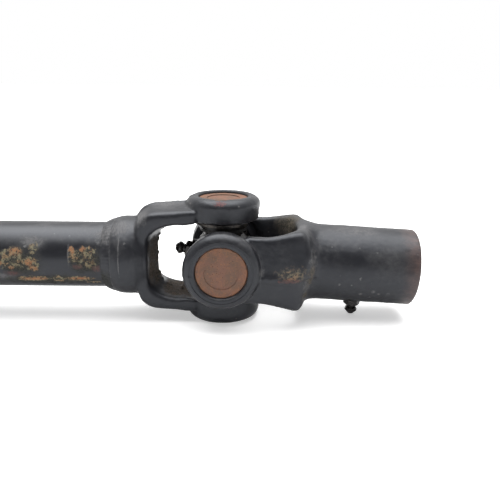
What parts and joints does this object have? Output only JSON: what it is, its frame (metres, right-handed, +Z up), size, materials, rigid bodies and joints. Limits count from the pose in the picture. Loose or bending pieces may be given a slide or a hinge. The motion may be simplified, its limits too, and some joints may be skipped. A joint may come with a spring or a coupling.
{
  "type": "drive shaft",
  "caption": "Tubular drive shaft with a universal joint at each end, one end yoke on a greased splined slip sleeve and the other on a pinned splined hub.",
  "frame": {"origin": "on the tube's axis, midway between the two ends of the shaft", "axes": "+X along the tube towards the slip end, +Z up, with the weld yokes' ears along Z"},
  "size_m": [0.5714, 0.066, 0.066],
  "materials": {
    "tube_paint": "satin black paint, scuffed, with rust showing in patches",
    "forging_paint": "satin black paint over a forged skin, dusty in its corners",
    "weld_paint": "painted weld bead",
    "rusted_steel": "ground steel with an even brown rust",
    "seal_rubber": "matt black nitrile rubber",
    "clip_steel": "dark oiled spring steel",
    "washer_plastic": "natural nylon",
    "needle_steel": "ground bearing steel",
    "nipple_steel": "black steel with a film of grease",
    "forged_steel": "dark forged steel with a film of grease",
    "plug_steel": "pressed steel, lightly rusted"
  },
  "bodies": {
    "tube_shaft": {"shaft_tube": "tube_paint", "slip_weld_yoke": "forging_paint", "slip_weld_bead": "weld_paint", "slip_upper_cup": "rusted_steel", "slip_upper_seal": "seal_rubber", "slip_upper_clip": "clip_steel", "slip_upper_thrust_washer": "washer_plastic", "slip_lower_cup": "rusted_steel", "slip_lower_seal": "seal_rubber", "slip_lower_clip": "clip_steel", "slip_lower_thrust_washer": "washer_plastic", "slip_upper_lower_needles": "needle_steel", "fixed_weld_yoke": "forging_paint", "fixed_weld_bead": "weld_paint", "fixed_upper_cup": "rusted_steel", "fixed_upper_seal": "seal_rubber", "fixed_upper_clip": "clip_steel", "fixed_upper_thrust_washer": "washer_plastic", "fixed_lower_cup": "rusted_steel", "fixed_lower_seal": "seal_rubber", "fixed_lower_clip": "clip_steel", "fixed_lower_thrust_washer": "washer_plastic", "fixed_upper_lower_needles": "needle_steel"},
    "slip_cross": {"slip_cross": "forged_steel", "slip_cross_nipple": "nipple_steel"},
    "slip_end": {"slip_yoke": "forging_paint", "slip_yoke_nipple": "nipple_steel", "slip_yoke_plug": "plug_steel", "slip_near_cup": "rusted_steel", "slip_near_seal": "seal_rubber", "slip_near_clip": "clip_steel", "slip_near_thrust_washer": "washer_plastic", "slip_far_cup": "rusted_steel", "slip_far_seal": "seal_rubber", "slip_far_clip": "clip_steel", "slip_far_thrust_washer": "washer_plastic", "slip_near_far_needles": "needle_steel"},
    "fixed_cross": {"fixed_cross": "forged_steel", "fixed_cross_nipple": "nipple_steel"},
    "fixed_end": {"fixed_yoke": "forging_paint", "fixed_near_cup": "rusted_steel", "fixed_near_seal": "seal_rubber", "fixed_near_clip": "clip_steel", "fixed_near_thrust_washer": "washer_plastic", "fixed_far_cup": "rusted_steel", "fixed_far_seal": "seal_rubber", "fixed_far_clip": "clip_steel", "fixed_far_thrust_washer": "washer_plastic", "fixed_near_far_needles": "needle_steel"}
  },
  "joints": [
    {"name": "slip_cross_swing", "type": "hinge", "parent": "tube_shaft", "child": "slip_cross", "pos_m": [0.18291, 0, 0], "axis": [0, 0, 1], "range_deg": [-30, 30]},
    {"name": "slip_yoke_swing", "type": "hinge", "parent": "slip_cross", "child": "slip_end", "pos_m": [0.18291, 0, 0], "axis": [0, 1, 0], "range_deg": [-33.3, 26.7]},
    {"name": "fixed_cross_swing", "type": "hinge", "parent": "tube_shaft", "child": "fixed_cross", "pos_m": [-0.21709, 0, 0], "axis": [0, 0, 1], "range_deg": [-30, 30]},
    {"name": "fixed_yoke_swing", "type": "hinge", "parent": "fixed_cross", "child": "fixed_end", "pos_m": [-0.21709, 0, 0], "axis": [0, 1, 0], "range_deg": [-18.59, 41.41]}
  ]
}
